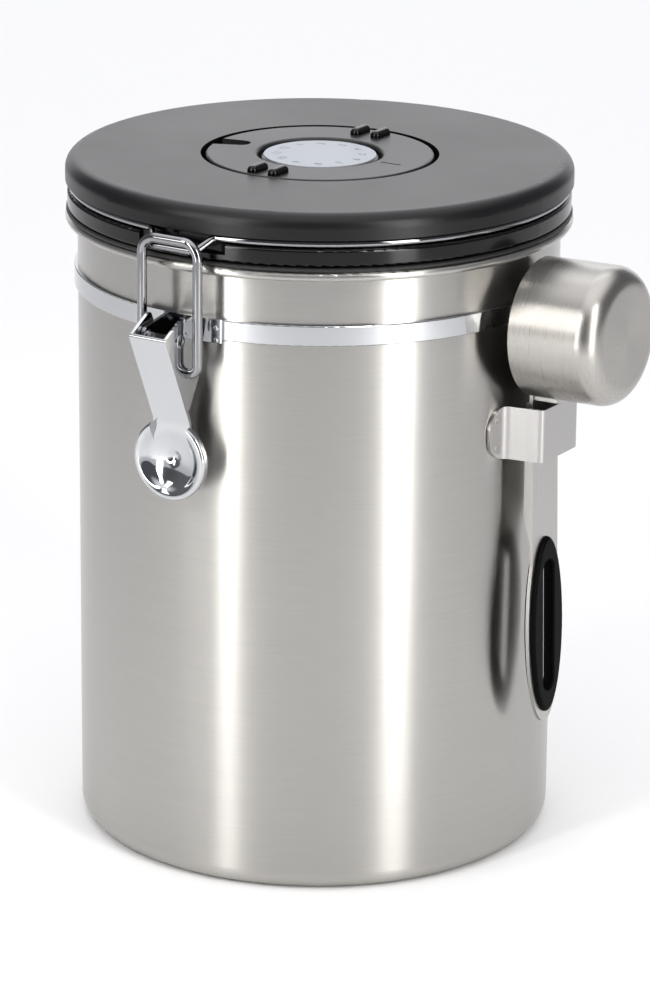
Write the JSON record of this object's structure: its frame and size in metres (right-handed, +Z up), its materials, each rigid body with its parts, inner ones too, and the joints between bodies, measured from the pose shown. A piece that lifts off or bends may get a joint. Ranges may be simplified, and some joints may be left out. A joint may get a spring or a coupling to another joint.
{
  "type": "coffee canister with valve",
  "caption": "Steel storage canister with a hinged black lid held by a wire-bail latch, a one-way valve under a turning cap with a date dial, and a scoop hung on the side.",
  "frame": {"origin": "on the can's axis in the middle of the flat base", "axes": "+Z up along the can's axis, -Y towards the latch, +Y towards the hinge, +X towards the scoop"},
  "size_m": [0.1507, 0.146, 0.174],
  "materials": {
    "steel_can": "satin, brushed along the height",
    "chrome_trim": "polished",
    "chrome_wire": "polished wire",
    "lid_matte_black": "fine matte grain",
    "lid_gloss_black": "polished",
    "cap_matte_black": "fine matte grain",
    "seal_black": "soft matte",
    "dial_pale": "satin with printed numbers",
    "valve_plastic": "satin",
    "valve_silicone": "soft translucent",
    "valve_felt": "felt",
    "steel_scoop": "satin",
    "grip_black": "soft satin"
  },
  "bodies": {
    "can": {"canister_body": "steel_can", "neck_strap": "chrome_trim", "latch_bracket": "chrome_trim", "hinge_bracket": "chrome_trim", "hinge_pin": "chrome_trim", "latch_rivets": "chrome_trim", "scoop_bracket": "chrome_trim"},
    "lid": {"lid_cover": "lid_matte_black", "lid_base": "lid_gloss_black", "lid_gasket": "seal_black", "bail_ring": "chrome_wire", "valve_seat": "valve_plastic", "valve_filter": "valve_felt", "valve_retainer": "valve_plastic"},
    "latch_lever": {"latch_lever": "chrome_trim"},
    "latch_link": {"latch_link": "chrome_wire"},
    "valve_cap": {"valve_cap": "cap_matte_black", "grip_ribs": "cap_matte_black"},
    "date_dial": {"date_dial": "lid_gloss_black", "dial_face": "dial_pale"},
    "valve_disc": {"valve_disc": "valve_silicone"},
    "scoop": {"scoop_bowl": "steel_scoop", "scoop_handle": "steel_scoop", "scoop_grip": "grip_black"}
  },
  "joints": [
    {"name": "lid_hinge", "type": "hinge", "parent": "can", "child": "lid", "pos_m": [0, 0.067, 0.15], "axis": [-1, 0, 0], "range_deg": [0, 90]},
    {"name": "latch_lever_pivot", "type": "hinge", "parent": "can", "child": "latch_lever", "pos_m": [0, -0.07, 0.1413], "axis": [-1, 0, 0], "range_deg": [0, 115]},
    {"name": "latch_link_pivot", "type": "hinge", "parent": "latch_lever", "child": "latch_link", "pos_m": [0, -0.0665, 0.1326], "axis": [1, 0, 0], "range_deg": [0, 153]},
    {"name": "valve_cap_turn", "type": "hinge", "parent": "lid", "child": "valve_cap", "pos_m": [0, 0, 0.17], "axis": [0, 0, 1], "range_deg": [0, 30]},
    {"name": "date_dial_turn", "type": "hinge", "parent": "valve_cap", "child": "date_dial", "pos_m": [0, 0, 0.1708], "axis": [0, 0, 1], "continuous": true},
    {"name": "valve_disc_lift", "type": "slide", "parent": "lid", "child": "valve_disc", "axis": [0, 0, 1], "range_m": [0, 0.0007]},
    {"name": "scoop_lift", "type": "slide", "parent": "can", "child": "scoop", "axis": [0, 0, 1], "range_m": [0, 0.085]}
  ],
  "couplings": [
    {"joint": "latch_lever_pivot", "follows": "lid_hinge", "ratio": 1.2778},
    {"joint": "latch_link_pivot", "follows": "lid_hinge", "ratio": 1.7}
  ]
}
